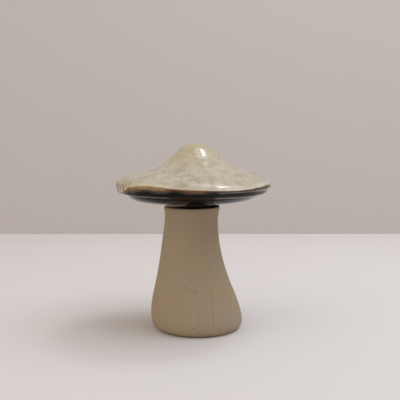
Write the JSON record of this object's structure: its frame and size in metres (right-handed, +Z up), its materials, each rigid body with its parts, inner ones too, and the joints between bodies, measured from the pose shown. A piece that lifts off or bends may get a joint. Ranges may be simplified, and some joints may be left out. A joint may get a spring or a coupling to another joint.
{
  "type": "mushroom ornament",
  "caption": "Stoneware mushroom ornament with a hollow glazed cap that lifts off and sits by a spigot in the mouth of a leaning, hollow, unglazed stem.",
  "frame": {"origin": "on the floor, under the middle of the cap", "axes": "+Z up from the foot to the tip, -Y towards the viewer of the picture, +X to the viewer's right, so the cap's thick rim is at -X and its thin rim at +X"},
  "size_m": [0.107, 0.107, 0.1305],
  "materials": {
    "bare_stoneware": "matt unglazed taupe stoneware with faint streaks",
    "reactive_glaze": "glossy mottled cream glaze that breaks to rust brown at the rim and to near black underneath"
  },
  "bodies": {
    "stem": {"stem": "bare_stoneware"},
    "cap": {"cap": "reactive_glaze"}
  },
  "joints": [
    {"name": "cap_lift", "type": "slide", "parent": "stem", "child": "cap", "axis": [0, 0, 1], "range_m": [0, 0.05]}
  ]
}
